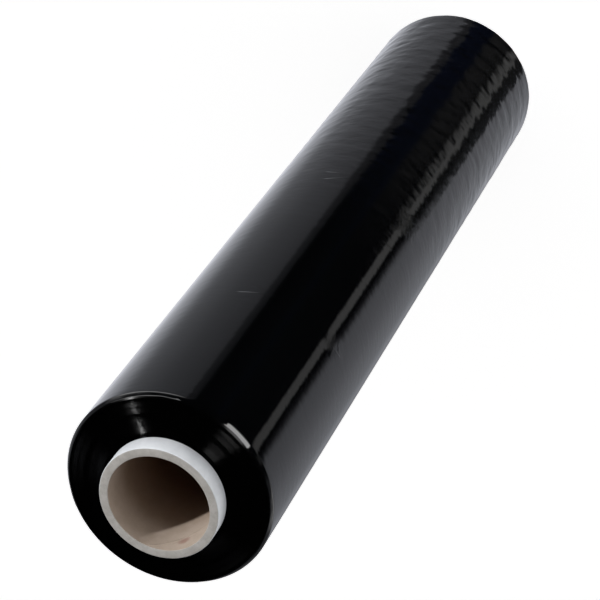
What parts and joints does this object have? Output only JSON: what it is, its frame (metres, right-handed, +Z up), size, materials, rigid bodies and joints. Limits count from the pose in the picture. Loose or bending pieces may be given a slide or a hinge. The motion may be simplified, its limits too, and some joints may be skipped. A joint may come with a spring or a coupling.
{
  "type": "stretch wrap roll",
  "caption": "Roll of black stretch wrap: film wound tight and even on a paperboard tube that stands a little proud of the film at both ends. Stands on end.",
  "frame": {"origin": "centre of the core's lower end, on the surface that the roll stands on", "axes": "+Z up the roll's axis; the roll is round, so +X and +Y are any two directions square to it"},
  "size_m": [0.101, 0.1008, 0.52],
  "materials": {
    "paperboard": "matt pale paperboard, whiter outside, greyer on the cut ends and brown-grey inside the bore",
    "stretch_film": "glossy black polyethylene film, wound tight with faint bands, ripples and layer edges"
  },
  "bodies": {
    "root": {"core_tube": "paperboard", "wound_film": "stretch_film"}
  },
  "joints": []
}
